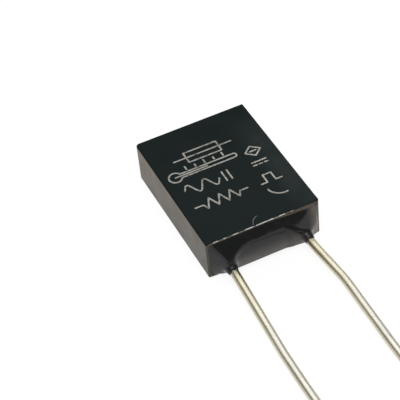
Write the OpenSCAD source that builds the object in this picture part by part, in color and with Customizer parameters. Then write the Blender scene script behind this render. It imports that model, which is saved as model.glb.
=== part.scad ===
// Thermal fuse, radial box type: a moulded cup sealed with potting resin, holding a
// low-melting alloy link between two wire leads. It lies on one broad face, with the
// leads running along -Y. The origin is the centre of the face that it lies on.

/* [Case] */
// Width of the case across the leads
case_w = 10.8; // [9.5:0.1:14]
// Length of the case from its mouth to its closed end
case_l = 14.5; // [12:0.1:20]
// Thickness of the case between its two broad faces
case_t = 4.0; // [3.4:0.1:6]
// Wall of the case on its four sides
side_wall = 0.55; // [0.4:0.05:0.6]
// Wall at the closed end of the case
end_wall = 0.7; // [0.4:0.05:1.5]
// Radius of the moulded outer edges
edge_r = 0.15; // [0.1:0.05:0.6]
// Radius of the four long corners inside the cup
cavity_r = 0.3; // [0.1:0.05:0.6]

/* [Leads] */
// Diameter of the lead wire
lead_d = 0.8; // [0.5:0.05:1]
// Distance between the leads where they leave the resin
lead_pitch = 7.3; // [5:0.1:7.6]
// Height of the lead axes above the face that the part lies on
lead_height = 1.15; // [1.1:0.05:2]
// Length of the leads from the mouth to the cut ends
lead_l = 35; // [22:1:70]
// Distance of the left lead's free end from the middle of the part
left_free_x = 4.0; // [3:0.05:5]
// Distance of the right lead's free end from the middle of the part
right_free_x = 4.15; // [3:0.05:5]
// Distance from the mouth at which the left lead has spread
left_spread_l = 11; // [5:0.5:12]
// Distance from the mouth at which the right lead has spread
right_spread_l = 6.5; // [5:0.5:12]
// Distance from the mouth at which the leads come down to the surface
touch_down_l = 14; // [13:0.5:18]
// Radius of the bends along the centre of the wire
bend_r = 14; // [8:1:20]

/* [Sealing resin] */
// Depth of the resin inside the mouth
seal_depth = 6.0; // [3:0.1:7]
// Rise of the resin's face below its upper edge, for each mm down
ramp_slope = 0.55; // [0.4:0.05:0.6]
// Height over which the face rises below its upper edge
ramp_l = 1.15; // [0.8:0.05:1.4]
// Height over which the ramp bends into the upright part of the face
ramp_bend = 0.25; // [0.1:0.05:0.3]
// How far the face draws back towards its foot
foot_sag = 0.25; // [0.1:0.05:0.3]
// Radius of the lower edge of the face
foot_r = 0.3; // [0.2:0.05:0.5]
// Length over which the face rolls down at each end
end_roll = 1.5; // [0.8:0.1:2.5]
// Width of the rim of the case that the resin leaves bare
bare_rim = 0.15; // [0.1:0.05:0.3]
// Height that the resin climbs along a lead
climb_h = 0.6; // [0.3:0.05:0.9]
// Width of the resin round a lead where it starts to climb
climb_w = 0.35; // [0.2:0.05:0.6]

/* [Fusible link] */
// Diameter of the alloy bar
link_d = 1.0; // [0.8:0.05:1.1]
// Length of the bar past each lead axis
link_overhang = 0.7; // [0.6:0.05:0.9]
// Depth of the weld that holds each lead end in the bar
weld_depth = 0.3; // [0.1:0.05:0.4]

/* [Hidden] */
$fn = 64;

mouth_y = -case_l / 2;
end_y = case_l / 2;
cavity_end_y = end_y - end_wall;
seal_back_y = mouth_y + seal_depth;
// The link lies midway between the resin and the closed end
link_y = (seal_back_y + cavity_end_y) / 2;
lead_tip_y = link_y - link_d / 2 + weld_depth;

// How far a cutting shape runs past the face that it cuts
cut_over = 1;
// Straight wire left between the resin and the first bend
bare_root = 0.1;
// How far a bend reaches into the straight wire at its ends
bend_lap = 0.03;
// How much thinner the wire is round a bend than along its straight parts
bend_thin = 0.004;

// Steps of the resin's face across the mouth and up it
across_steps = 36;
up_steps = 18;
face_half_w = case_w / 2 - bare_rim;
face_half_t = case_t / 2 - bare_rim;
// Steps in the flank of the resin round a lead
climb_steps = 8;
// Thickness of the resin where it ends on a lead
climb_lip = 0.04;

LEFT = -1;
RIGHT = 1;

// Rounded rectangle w by h about the origin, with corners of radius r
module rounded_rectangle(w, h, r) {
    square([w - 2 * r, h], center = true);
    square([w, h - 2 * r], center = true);
    for (x = [-1, 1], y = [-1, 1])
        translate([x * (w / 2 - r), y * (h / 2 - r)]) circle(r);
}

// Rectangle w wide from y = 0 to y = l, with its two far corners rounded
module rounded_end(w, l, r) {
    translate([-w / 2, 0]) square([w, l - r]);
    translate([-w / 2 + r, 0]) square([w - 2 * r, l]);
    for (x = [-1, 1])
        translate([x * (w / 2 - r), l - r]) circle(r);
}

// Carries a section drawn in X and Z along Y, from y0 to y1, at half the case's height
module along_y(y0, y1) {
    translate([0, y1, case_t / 2]) rotate([90, 0, 0]) linear_extrude(y1 - y0) children();
}

module case_section() {
    rounded_rectangle(case_w, case_t, edge_r);
}

module cavity_section() {
    rounded_rectangle(case_w - 2 * side_wall, case_t - 2 * side_wall, cavity_r);
}

// Outside of the cup: long edges and closed end rounded, mouth left square
module case_outside() {
    intersection() {
        along_y(mouth_y, end_y) case_section();
        translate([0, mouth_y, 0])
            linear_extrude(case_t) rounded_end(case_w, case_l, edge_r);
        translate([case_w / 2, mouth_y, case_t / 2]) rotate([0, -90, 0])
            linear_extrude(case_w) rounded_end(case_t, case_l, edge_r);
    }
}

module case() {
    color([0.06, 0.065, 0.065])
        difference() {
            case_outside();
            along_y(mouth_y - cut_over, cavity_end_y) cavity_section();
        }
}

// How far the resin's face stands out of the mouth. Below its upper edge it rises at a
// steady slope and bends into an upright part, which draws back towards a rounded foot.
// Both ends roll down to the rim.
function ramp(depth) =
    ramp_slope * (ramp_l - ramp_bend * ln(1 + exp((ramp_l - depth) / ramp_bend)));
function sag(z) = foot_sag * pow(min(0, z) / face_half_t, 2);
// Falls from 1 to 0 as a quarter circle over the last part of a length
function rolled(past, roll) = sqrt(1 - pow(min(1, max(0, past / roll)), 2));
function stand(x, z) =
    max(0, ramp(face_half_t - z) - sag(z))
    * rolled(abs(x) - face_half_w + end_roll, end_roll)
    * rolled(-z - face_half_t + foot_r, foot_r);

// The face as a solid on the plane of the mouth, thinning to nothing at its edge. Its
// cells narrow towards the edge, where it is most curved.
module resin_face() {
    nx = across_steps;
    nz = up_steps;
    at = function (i, j) i * (nz + 1) + j;
    on_edge = function (i, j) i == 0 || i == nx || j == 0 || j == nz;
    face = [for (i = [0:nx], j = [0:nz])
        let (x = -face_half_w * cos(180 * i / nx), z = -face_half_t * cos(180 * j / nz))
        [x, on_edge(i, j) ? 0 : -stand(x, z), z]];
    // Each cell is split along the diagonal that points to the middle of the face
    front = [for (i = [0:nx - 1], j = [0:nz - 1])
        let (a = at(i, j), b = at(i, j + 1), c = at(i + 1, j + 1), d = at(i + 1, j))
        each (i < nx / 2) == (j < nz / 2) ? [[a, b, c], [a, c, d]] : [[a, b, d], [b, c, d]]];
    rim = concat(
        [for (i = [0:nx - 1]) at(i, 0)],
        [for (j = [0:nz - 1]) at(nx, j)],
        [for (i = [nx:-1:1]) at(i, nz)],
        [for (j = [nz:-1:1]) at(0, j)]);
    middle = len(face);
    back = [for (k = [0:len(rim) - 1]) [middle, rim[k], rim[(k + 1) % len(rim)]]];
    translate([0, mouth_y, case_t / 2])
        polyhedron(concat(face, [[0, 0, 0]]), concat(front, back), convexity = 4);
}

// How far the plug and the horns reach into the face: half its height at the cup's upper corners
seat_over = stand(case_w / 2 - side_wall, case_t / 2 - side_wall) / 2;
// How far the resin stands out of the mouth at a lead
climb_out = stand(lead_pitch / 2, lead_height - case_t / 2) + climb_h;

// Resin drawn up round a lead: a horn that starts inside the face and runs out to a
// thin lip on the wire, with a hollow flank
module resin_climb(side) {
    height = climb_out - seat_over;
    flank = [for (i = [0:climb_steps])
        let (a = 90 * i / climb_steps)
        [lead_d / 2 + climb_lip + climb_w * (1 - sin(a)), height * (1 - cos(a))]];
    translate([side * lead_pitch / 2, mouth_y - seat_over, lead_height]) rotate([90, 0, 0])
        rotate_extrude() polygon(concat([[0, 0]], flank, [[0, height]]));
}

// Straight part of a lead inside the part, as a rod to cut or to leave room for
module lead_root(side) {
    root_l = lead_tip_y - mouth_y + climb_out + cut_over;
    translate([side * lead_pitch / 2, lead_tip_y, lead_height]) rotate([90, 0, 0])
        cylinder(h = root_l, d = lead_d);
}

module sealing_resin() {
    color([0.03, 0.03, 0.035])
        difference() {
            union() {
                along_y(mouth_y - seat_over, seal_back_y) cavity_section();
                resin_face();
                for (side = [LEFT, RIGHT]) resin_climb(side);
            }
            for (side = [LEFT, RIGHT]) lead_root(side);
        }
}

function unit(v) = v / norm(v);

// Any direction square to v
function across(v) = unit(cross(v, abs(v[2]) < 0.9 ? [0, 0, 1] : [1, 0, 0]));

// Puts its children at a point, with their Z along z_axis and their X along x_axis
module place(point, z_axis, x_axis) {
    y_axis = cross(z_axis, x_axis);
    multmatrix([for (i = [0:2]) [x_axis[i], y_axis[i], z_axis[i], point[i]]]) children();
}

// Round wire along a list of points, straight between them and bent about each inner one
module wire(points, d, bend_radius) {
    last = len(points) - 1;
    along = [for (i = [0:last - 1]) unit(points[i + 1] - points[i])];
    turn = [for (i = [0:last])
        i == 0 || i == last ? 0 : acos(min(1, along[i - 1] * along[i]))];
    trim = [for (a = turn) bend_radius * tan(a / 2)];
    for (i = [0:last - 1]) {
        start = points[i] + along[i] * trim[i];
        length = norm(points[i + 1] - points[i]) - trim[i] - trim[i + 1];
        place(start, along[i], across(along[i])) cylinder(h = length, d = d);
    }
    lap = atan(bend_lap / bend_radius);
    for (i = [1:last - 1]) {
        inward = unit(along[i] - along[i - 1] * (along[i - 1] * along[i]));
        centre = points[i] - along[i - 1] * trim[i] + inward * bend_radius;
        place(centre, cross(-inward, along[i - 1]), -inward) rotate([0, 0, -lap])
            rotate_extrude(angle = turn[i] + 2 * lap)
                translate([bend_radius, 0]) circle(d = d - bend_thin);
    }
}

function spread_length(side) = side == LEFT ? left_spread_l : right_spread_l;
function free_distance(side) = side == LEFT ? left_free_x : right_free_x;

// Room that the first bend needs before its corner, taken at the lead's mean slope
function first_trim(side) =
    let (
        run = spread_length(side) - climb_out,
        out = abs(free_distance(side) - lead_pitch / 2),
        down = (lead_height - lead_d / 2) * run / (touch_down_l - climb_out))
    bend_r * tan(atan(norm([out, down]) / run) / 2);

// Centre line of a lead: straight out of the resin, spreading and sinking to the
// surface, then straight along it to the cut end
function lead_route(side) =
    let (
        root_x = side * lead_pitch / 2,
        free_x = side * free_distance(side),
        rest_z = lead_d / 2,
        first_l = climb_out + bare_root + first_trim(side),
        spread_l = spread_length(side),
        sunk = (spread_l - first_l) / (touch_down_l - first_l),
        spread_z = lead_height + (rest_z - lead_height) * sunk)
    [[root_x, lead_tip_y, lead_height],
     [root_x, mouth_y - first_l, lead_height],
     [free_x, mouth_y - spread_l, spread_z],
     [free_x, mouth_y - touch_down_l, rest_z],
     [free_x, mouth_y - lead_l, rest_z]];

module lead(side) {
    color([0.80, 0.77, 0.68]) wire(lead_route(side), lead_d, bend_r);
}

// Bar about Z from -half_l to half_l with hemispherical ends
module round_bar(half_l, r) {
    straight = half_l - r;
    rotate_extrude() intersection() {
        translate([0, -half_l]) square([r, 2 * half_l]);
        union() {
            translate([0, -straight]) square([r, 2 * straight]);
            for (end = [-1, 1]) translate([0, end * straight]) circle(r);
        }
    }
}

module link_bar() {
    translate([0, link_y, lead_height]) rotate([0, 90, 0])
        round_bar(lead_pitch / 2 + link_overhang, link_d / 2);
}

// Alloy bar with a seat for the end of each lead
module fusible_link() {
    color([0.55, 0.56, 0.58])
        difference() {
            link_bar();
            for (side = [LEFT, RIGHT]) lead_root(side);
        }
}

// Flux fills the cup from the resin to the closed end, round the link and the lead ends
module flux() {
    color([0.72, 0.48, 0.18])
        difference() {
            along_y(seal_back_y, cavity_end_y) cavity_section();
            link_bar();
            for (side = [LEFT, RIGHT]) lead_root(side);
        }
}

case();
sealing_resin();
lead(LEFT);  // lead_left
lead(RIGHT);  // lead_right
fusible_link();
flux();
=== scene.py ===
"""Looks of a radial thermal fuse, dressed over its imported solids.

The file is laid out as an add-on: settings, one operator for each group of pieces, a panel
and a main function. Everything is in metres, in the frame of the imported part: the part lies
on z = 0 with its leads along -Y.
"""
import math

import bmesh
import bpy
import numpy as np
from bpy.props import FloatProperty, FloatVectorProperty, PointerProperty
from bpy.types import Operator, Panel, PropertyGroup
from mathutils import Matrix, Vector, noise


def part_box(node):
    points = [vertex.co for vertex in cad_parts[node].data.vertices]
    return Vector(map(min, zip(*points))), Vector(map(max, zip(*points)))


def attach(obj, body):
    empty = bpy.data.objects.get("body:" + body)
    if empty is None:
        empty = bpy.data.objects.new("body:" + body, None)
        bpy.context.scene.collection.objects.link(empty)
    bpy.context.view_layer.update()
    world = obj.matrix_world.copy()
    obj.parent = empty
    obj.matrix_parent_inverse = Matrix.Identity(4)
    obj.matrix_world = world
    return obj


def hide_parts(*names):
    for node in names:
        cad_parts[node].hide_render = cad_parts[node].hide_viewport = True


bl_info = {
    "name": "Thermal Fuse Looks",
    "version": (1, 0, 0),
    "blender": (4, 5, 0),
    "location": "View3D > Sidebar > Fuse",
    "description": "Dresses the solids of a box-type thermal fuse with their real surfaces",
    "category": "Object",
}

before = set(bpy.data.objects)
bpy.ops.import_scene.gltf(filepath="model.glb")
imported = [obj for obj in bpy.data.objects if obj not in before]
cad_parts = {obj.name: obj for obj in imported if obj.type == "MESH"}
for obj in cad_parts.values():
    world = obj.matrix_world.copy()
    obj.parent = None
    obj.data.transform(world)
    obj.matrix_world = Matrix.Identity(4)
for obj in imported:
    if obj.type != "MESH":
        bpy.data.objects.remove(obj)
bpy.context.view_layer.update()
CASE_LOW, CASE_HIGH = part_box("case")
LEAD_LOW, LEAD_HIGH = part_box("lead_left")
RESIN_LOW, RESIN_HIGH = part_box("sealing_resin")

MM = 0.001
BODY = "root"
HALF_W = (CASE_HIGH.x - CASE_LOW.x) / 2
HALF_T = (CASE_HIGH.z - CASE_LOW.z) / 2
MOUTH_Y = CASE_LOW.y
END_Y = CASE_HIGH.y
SEAL_BACK_Y = RESIN_HIGH.y


# Settings


class FuseCaseSettings(PropertyGroup):
    """Sizes and colours of the moulded case."""

    edge_radius: FloatProperty(
        name="Edge radius", description="Radius of the moulded outer edges",
        default=0.15 * MM, unit="LENGTH", precision=5)
    mouth_edge_radius: FloatProperty(
        name="Edge radius at the mouth",
        description="Radius that the long edges sharpen to at the open end",
        default=0.11 * MM, unit="LENGTH", precision=5)
    left_corner_radius: FloatProperty(
        name="Left corner radius",
        description="Radius of the rounder upright corner at the left of the closed end",
        default=0.35 * MM, unit="LENGTH", precision=5)
    rim_bevel: FloatProperty(
        name="Rim bevel", description="Worn-off width along the outer rim of the mouth",
        default=0.05 * MM, unit="LENGTH", precision=5)
    face_sink: FloatProperty(
        name="Face sink", description="How far the broad faces have drawn in while cooling",
        default=0.02 * MM, unit="LENGTH", precision=5)
    rim_wear: FloatProperty(
        name="Rim wear", description="Extra rounding of the rim where it is most worn, at its right end",
        default=0.25 * MM, unit="LENGTH", precision=5)
    side_wall: FloatProperty(
        name="Side wall", description="Wall of the cup on its four sides",
        default=0.55 * MM, unit="LENGTH", precision=5)
    end_wall: FloatProperty(
        name="End wall", description="Wall at the closed end of the cup",
        default=0.7 * MM, unit="LENGTH", precision=5)
    colour: FloatVectorProperty(
        name="Plastic", description="Colour of the moulded plastic",
        default=(0.0022, 0.0074, 0.0068), subtype="COLOR", size=3, min=0, max=1)
    # Dust colour, which on the thick left side also serves as a painted reflection of the warm floor
    dust_and_reflection_colour: FloatVectorProperty(
        name="Dust", description="Colour of the dust in the grain of the narrow sides",
        default=(0.156, 0.107, 0.050), subtype="COLOR", size=3, min=0, max=1)
    # Painted reflection of the warm floor, laid as colour on the front-facing rim round the resin
    rim_reflection_colour: FloatVectorProperty(
        name="Rim", description="Colour of the chalky bare rim round the resin",
        default=(0.12, 0.095, 0.075), subtype="COLOR", size=3, min=0, max=1)
    # Scuffed plastic, and also a painted highlight along the rim's upper edge
    scuff_and_highlight_colour: FloatVectorProperty(
        name="Scuff", description="Colour of scraped plastic along the rim",
        default=(0.86, 0.87, 0.82), subtype="COLOR", size=3, min=0, max=1)


class FuseResinSettings(PropertyGroup):
    """Sizes and colours of the sealing resin."""

    ramp_slope: FloatProperty(
        name="Ramp slope", description="Rise of the face below its upper edge",
        default=0.55)
    ramp_length: FloatProperty(
        name="Ramp length", description="Height over which the face rises below its upper edge",
        default=1.25 * MM, unit="LENGTH", precision=5)
    ramp_bend: FloatProperty(
        name="Ramp bend",
        description="Height over which the ramp bends into the upright part of the face",
        default=0.25 * MM, unit="LENGTH", precision=5)
    rib_length: FloatProperty(
        name="Rib length", description="How much further the ramp runs down to the left lead",
        default=1.0 * MM, unit="LENGTH", precision=5)
    shelf_slope: FloatProperty(
        name="Shelf slope", description="Rise of the flat shelf at the right end",
        default=0.33)
    step_height: FloatProperty(
        name="Step", description="Height of the step below the shelf",
        default=0.15 * MM, unit="LENGTH", precision=5)
    foot_sag: FloatProperty(
        name="Foot sag", description="How far the face draws back towards its foot",
        default=0.25 * MM, unit="LENGTH", precision=5)
    foot_radius: FloatProperty(
        name="Foot radius", description="Radius of the face's lower edge",
        default=0.3 * MM, unit="LENGTH", precision=5)
    bare_rim: FloatProperty(
        name="Bare rim", description="Width of the upper and lower rim that the resin leaves bare",
        default=0.15 * MM, unit="LENGTH", precision=5)
    bare_rim_right: FloatProperty(
        name="Bare rim, upper right",
        description="Width of the bare rim along the upper right of the mouth",
        default=0.42 * MM, unit="LENGTH", precision=5)
    bare_left: FloatProperty(
        name="Bare left end", description="Width of the rim left bare at the left end of the mouth",
        default=0.15 * MM, unit="LENGTH", precision=5)
    bare_right: FloatProperty(
        name="Bare right end", description="Width of the rim left bare at the right end of the mouth",
        default=0.27 * MM, unit="LENGTH", precision=5)
    left_roll: FloatProperty(
        name="Left roll", description="Length over which the face rolls down at its left end",
        default=0.6 * MM, unit="LENGTH", precision=5)
    right_roll: FloatProperty(
        name="Right roll", description="Length over which the face rolls down at its right end",
        default=1.5 * MM, unit="LENGTH", precision=5)
    left_climb: FloatProperty(
        name="Left climb",
        description="Distance from the mouth to which the resin climbs along the left lead",
        default=1.42 * MM, unit="LENGTH", precision=5)
    right_climb: FloatProperty(
        name="Right climb",
        description="Distance from the mouth to which the resin climbs along the right lead",
        default=1.42 * MM, unit="LENGTH", precision=5)
    climb_width: FloatProperty(
        name="Climb width", description="Thickness of the resin's sleeve round a lead",
        default=0.11 * MM, unit="LENGTH", precision=5)
    colour: FloatVectorProperty(
        name="Resin", description="Colour of the potting resin",
        default=(0.0035, 0.0042, 0.0042), subtype="COLOR", size=3, min=0, max=1)


class FuseLeadSettings(PropertyGroup):
    """Sizes and colours of the wire leads."""

    diameter: FloatProperty(
        name="Diameter", description="Diameter of the lead wire",
        default=0.8 * MM, unit="LENGTH", precision=5)
    pitch: FloatProperty(
        name="Pitch", description="Distance between the leads where they leave the resin",
        default=7.3 * MM, unit="LENGTH", precision=5)
    height: FloatProperty(
        name="Height", description="Height of the lead axes where they leave the resin",
        default=1.15 * MM, unit="LENGTH", precision=5)
    left_free: FloatProperty(
        name="Left free end", description="Distance of the left lead's free end from the middle",
        default=4.0 * MM, unit="LENGTH", precision=5)
    right_free: FloatProperty(
        name="Right free end", description="Distance of the right lead's free end from the middle",
        default=4.15 * MM, unit="LENGTH", precision=5)
    left_spread: FloatProperty(
        name="Left spread", description="Distance from the mouth at which the left lead has spread",
        default=11.0 * MM, unit="LENGTH", precision=5)
    right_spread: FloatProperty(
        name="Right spread", description="Distance from the mouth at which the right lead has spread",
        default=6.5 * MM, unit="LENGTH", precision=5)
    touch_down: FloatProperty(
        name="Touch down", description="Distance from the mouth at which the leads meet the surface",
        default=14.0 * MM, unit="LENGTH", precision=5)
    bend_radius: FloatProperty(
        name="Bend radius", description="Radius of the bends along the centre of the wire",
        default=14.0 * MM, unit="LENGTH", precision=5)
    colour: FloatVectorProperty(
        name="Tin", description="Colour of the tinned surface",
        default=(0.92, 0.90, 0.80), subtype="COLOR", size=3, min=0, max=1)
    root_colour: FloatVectorProperty(
        name="Tin at the root",
        description="Colour of the tin where the heat of sealing has yellowed it",
        default=(0.90, 0.83, 0.58), subtype="COLOR", size=3, min=0, max=1)
    # Painted shade: the flanks of the wire are darkened in colour to stand for their darker reflections
    flank_shade_colour: FloatVectorProperty(
        name="Tin on the flanks", description="Colour of the duller tin along the sides of the wire",
        default=(0.62, 0.56, 0.41), subtype="COLOR", size=3, min=0, max=1)


class FusePrintSettings(PropertyGroup):
    """Sizes and colour of the marks printed on the broad face."""

    stroke: FloatProperty(
        name="Stroke", description="Width of a printed line",
        default=0.15 * MM, unit="LENGTH", precision=5)
    thickness: FloatProperty(
        name="Thickness", description="Thickness of the ink",
        default=0.008 * MM, unit="LENGTH", precision=6)
    colour: FloatVectorProperty(
        name="Ink", description="Colour of the ink",
        default=(0.42, 0.41, 0.37), subtype="COLOR", size=3, min=0, max=1)


class FuseStageSettings(PropertyGroup):
    """Floor, light and camera."""

    floor_size: FloatProperty(
        name="Floor", description="Side of the square floor", default=3.0, unit="LENGTH")
    floor_glow: FloatProperty(
        name="Floor glow", description="Share of the floor's white that doesn't depend on the lamps",
        default=0.86, subtype="FACTOR", min=0, max=1)
    room: FloatProperty(
        name="Room",
        description="Brightness of the dim room round the floor", default=0.26, min=0, max=1)
    lens: FloatProperty(
        name="Lens", description="Focal length in millimetres", default=136.27, min=1)


SETTINGS = {
    "fuse_case": FuseCaseSettings,
    "fuse_resin": FuseResinSettings,
    "fuse_leads": FuseLeadSettings,
    "fuse_print": FusePrintSettings,
    "fuse_stage": FuseStageSettings,
}


# Shapes


def smooth(low, high, value):
    """Rises from 0 at low to 1 at high with level ends."""
    share = np.clip((value - low) / (high - low), 0.0, 1.0)
    return share * share * (3.0 - 2.0 * share)


def ripple(x, y, z, size, seed=0.0):
    """Smooth noise between about -1 and 1 whose swells are about size wide."""
    return noise.noise(Vector((x / size + seed, y / size - seed, z / size + 2.7 * seed)))


def add_piece(name, verts, faces, material, sharp_degrees, wire_place=None):
    """Makes a mesh piece that rides on the part and takes the given finish.

    Edges that turn by more than sharp_degrees are shaded sharp. wire_place, if given, holds for
    each point the direction round the wire and the length along it.
    """
    mesh = bpy.data.meshes.new(name)
    mesh.from_pydata([tuple(v) for v in verts], [], faces)
    if mesh.validate():
        raise RuntimeError(f"the mesh of {name} has faults")
    work = bmesh.new()
    work.from_mesh(mesh)
    bmesh.ops.recalc_face_normals(work, faces=work.faces)
    for face in work.faces:
        face.smooth = True
    work.to_mesh(mesh)
    work.free()
    mesh.set_sharp_from_angle(angle=math.radians(sharp_degrees))
    if wire_place is not None:
        stored = mesh.attributes.new("wire_place", "FLOAT_VECTOR", "POINT")
        stored.data.foreach_set("vector", np.asarray(wire_place, np.float32).ravel())
    mesh.materials.append(material)
    piece = bpy.data.objects.new(name, mesh)
    bpy.context.scene.collection.objects.link(piece)
    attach(piece, BODY)
    return piece


def skin(loops):
    """Points and faces of a capped skin over closed loops that all have the same number of points."""
    count = len(loops[0])
    verts = np.concatenate(loops)
    faces = []
    for k in range(len(loops) - 1):
        a, b = k * count, (k + 1) * count
        faces += [(a + i, a + (i + 1) % count, b + (i + 1) % count, b + i) for i in range(count)]
    faces.append(tuple(range(count)))
    faces.append(tuple(range((len(loops) - 1) * count, len(loops) * count)))
    return verts, faces


# Case: the strip keeps a flat face flat beside a rounded edge, stations are millimetres from the mouth
EDGE_STRIP = 0.05 * MM
ARC_STEPS = 10
BEVEL_STEPS = 4
CELLS_ACROSS = 18
CELLS_UP = 8
CUP_RADIUS = 0.3 * MM
CUP_LIP = 0.03 * MM
CUP_LIP_START = 0.2 * MM
LEAST_RADIUS = 0.02 * MM
SHARPENING_LENGTH = 0.9 * MM
WEAR_FADE = 1.0 * MM
BODY_STATIONS = [0.1, 0.18, 0.3, 0.45, 0.6, 0.75, 0.9, 1.0] + list(np.arange(1.6, 13.6, 0.6))
CORNER_SHARES = (1.0, 0.85, 0.7)


def rounded_outline(half_w, half_t, radius):
    """Points (x, z) round a rectangle with rounded corners, from the lower right corner up."""
    run_x, run_z = half_w - radius, half_t - radius
    upright = np.linspace(EDGE_STRIP - run_z, run_z - EDGE_STRIP, CELLS_UP + 1)
    level = np.linspace(EDGE_STRIP - run_x, run_x - EDGE_STRIP, CELLS_ACROSS + 1)
    sides = (
        ([(half_w, s) for s in upright], (run_x, run_z)),
        ([(-s, half_t) for s in level], (-run_x, run_z)),
        ([(-half_w, -s) for s in upright], (-run_x, -run_z)),
        ([(s, -half_t) for s in level], (run_x, -run_z)))
    points = []
    for k, (run, corner) in enumerate(sides):
        points += run
        for i in range(ARC_STEPS + 1):
            angle = math.pi / 2 * (k + i / ARC_STEPS)
            points.append(tuple(np.array(corner) + radius * np.array([math.cos(angle), math.sin(angle)])))
    return np.array(points)


def loop_at(y, half_w, half_t, radius):
    """A rounded outline as a loop of points round the case at y."""
    outline = rounded_outline(half_w, half_t, radius)
    return np.column_stack([outline[:, 0], np.full(len(outline), y), outline[:, 1] + HALF_T])


def sink_share(x, y):
    """1 at the middle of a broad face, 0 at its edges."""
    along = (2 * y - END_Y - MOUTH_Y) / (END_Y - MOUTH_Y)
    return max(0.0, 1 - (x / HALF_W) ** 2) * max(0.0, 1 - along ** 4)


def broad_face_z(x, y, settings):
    """Height of the printed broad face."""
    return 2 * HALF_T - settings.face_sink * sink_share(x, y)


def rim_wear_share(x, z):
    """How worn the rim is: most at its right end, less at its left, along the top only to the right."""
    right = float(smooth(4.9 * MM, 5.3 * MM, x))
    left = 0.45 * float(smooth(5.0 * MM, 5.3 * MM, -x))
    top = 0.6 * float(smooth(2.0 * MM, 4.2 * MM, x)) * float(smooth(3.5 * MM, 3.8 * MM, z))
    return max(right, left, top)


def sink_faces(loop, y, sink):
    """Draws the broad faces of a loop in by sink and the narrow sides by half of it."""
    for point in loop:
        up = np.sign(point[2] - HALF_T)
        out = np.sign(point[0])
        flat = abs(point[2] - HALF_T) / HALF_T
        point[2] -= up * sink * sink_share(point[0], y) * float(smooth(0.75, 1.0, flat))
        at_side = float(smooth(0.9, 1.0, abs(point[0]) / HALF_W))
        point[0] -= out * 0.5 * sink * max(0.0, 1 - flat ** 2) * at_side


def round_left_corner(loops, corner):
    """Rounds the upright corner at the left of the closed end."""
    for loop in loops:
        past = loop[0][1] - (END_Y - corner)
        if past > 0:
            inset = corner - math.sqrt(max(0.0, corner ** 2 - past ** 2))
            loop[:, 0] *= np.where(loop[:, 0] < 0, 1 - inset / HALF_W, 1.0)


def wear_rim(loops, first_bevel, rim_wear):
    """Adds the rim's wear to its bevel, and fades it out along the case."""
    last_bevel = first_bevel + BEVEL_STEPS
    outward = loops[last_bevel] - loops[first_bevel - 1]
    for k, way in enumerate(outward):
        worn = rim_wear * rim_wear_share(loops[last_bevel][k][0], loops[last_bevel][k][2])
        way = np.array([way[0], 0.0, way[2]]) / math.hypot(way[0], way[2])
        for n in range(first_bevel - 1, last_bevel + 1):
            angle = math.pi / 2 * max(0, n - first_bevel) / BEVEL_STEPS
            loops[n][k] -= way * worn * (1 - math.sin(angle))
            loops[n][k][1] += worn * (1 - math.cos(angle))
        for loop in loops[last_bevel + 1:]:
            loop[k][1] += worn * max(0.0, 1 - (loop[k][1] - MOUTH_Y) / WEAR_FADE)


def case_loops(settings):
    """Loops from the floor of the cup out over the rim and along the outside to the closed end."""
    cup_w, cup_t = HALF_W - settings.side_wall, HALF_T - settings.side_wall
    cup_end = END_Y - settings.end_wall
    loops = [loop_at(y, cup_w, cup_t, CUP_RADIUS)
             for y in (cup_end, cup_end - EDGE_STRIP, MOUTH_Y + CUP_LIP_START, MOUTH_Y + CUP_LIP)]
    loops.append(loop_at(MOUTH_Y, cup_w + CUP_LIP, cup_t + CUP_LIP, CUP_RADIUS + CUP_LIP))

    def edge_radius(y):
        blend = float(smooth(0.0, SHARPENING_LENGTH, y - MOUTH_Y))
        return settings.mouth_edge_radius + (settings.edge_radius - settings.mouth_edge_radius) * blend

    bevel = settings.rim_bevel
    rim_w, rim_t = HALF_W - bevel - EDGE_STRIP, HALF_T - bevel - EDGE_STRIP
    loops.append(loop_at(MOUTH_Y, rim_w, rim_t, edge_radius(MOUTH_Y) - bevel))
    first_bevel = len(loops)
    for i in range(BEVEL_STEPS + 1):
        angle = math.pi / 2 * i / BEVEL_STEPS
        inset = bevel * (1 - math.sin(angle))
        y = MOUTH_Y + bevel * (1 - math.cos(angle))
        loops.append(loop_at(y, HALF_W - inset, HALF_T - inset, edge_radius(y) - inset))
    first_body = len(loops)

    radius, corner = settings.edge_radius, settings.left_corner_radius
    body = [MOUTH_Y + s * MM for s in BODY_STATIONS] + [END_Y - corner * share for share in CORNER_SHARES]
    for y in body + [END_Y - radius - EDGE_STRIP]:
        loops.append(loop_at(y, HALF_W, HALF_T, edge_radius(y)))
        sink_faces(loops[-1], y, settings.face_sink)
    for i in range(ARC_STEPS + 1):
        angle = math.pi / 2 * i / ARC_STEPS
        inset = radius * (1 - math.cos(angle))
        y = END_Y - radius + radius * math.sin(angle)
        loops.append(loop_at(y, HALF_W - inset, HALF_T - inset, max(radius - inset, LEAST_RADIUS)))
    end_w, end_t = HALF_W - radius - EDGE_STRIP, HALF_T - radius - EDGE_STRIP
    loops.append(loop_at(END_Y, end_w, end_t, LEAST_RADIUS))
    round_left_corner(loops[first_body:], corner)
    wear_rim(loops, first_bevel, settings.rim_wear)
    return loops


def graded(low, high, coarse, fine, centres, reach):
    """Positions from low to high, spaced coarsely and closing up to fine round each centre."""
    samples = 4000
    even = np.linspace(low, high, samples)
    density = np.full_like(even, 1 / coarse)
    for centre in centres:
        density += (1 / fine - 1 / coarse) * np.exp(-((even - centre) / reach) ** 2)
    total = np.concatenate([[0], np.cumsum((density[1:] + density[:-1]) / 2 * np.diff(even))])
    return np.interp(np.linspace(0, total[-1], int(round(total[-1])) + 1), total, even)


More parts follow.
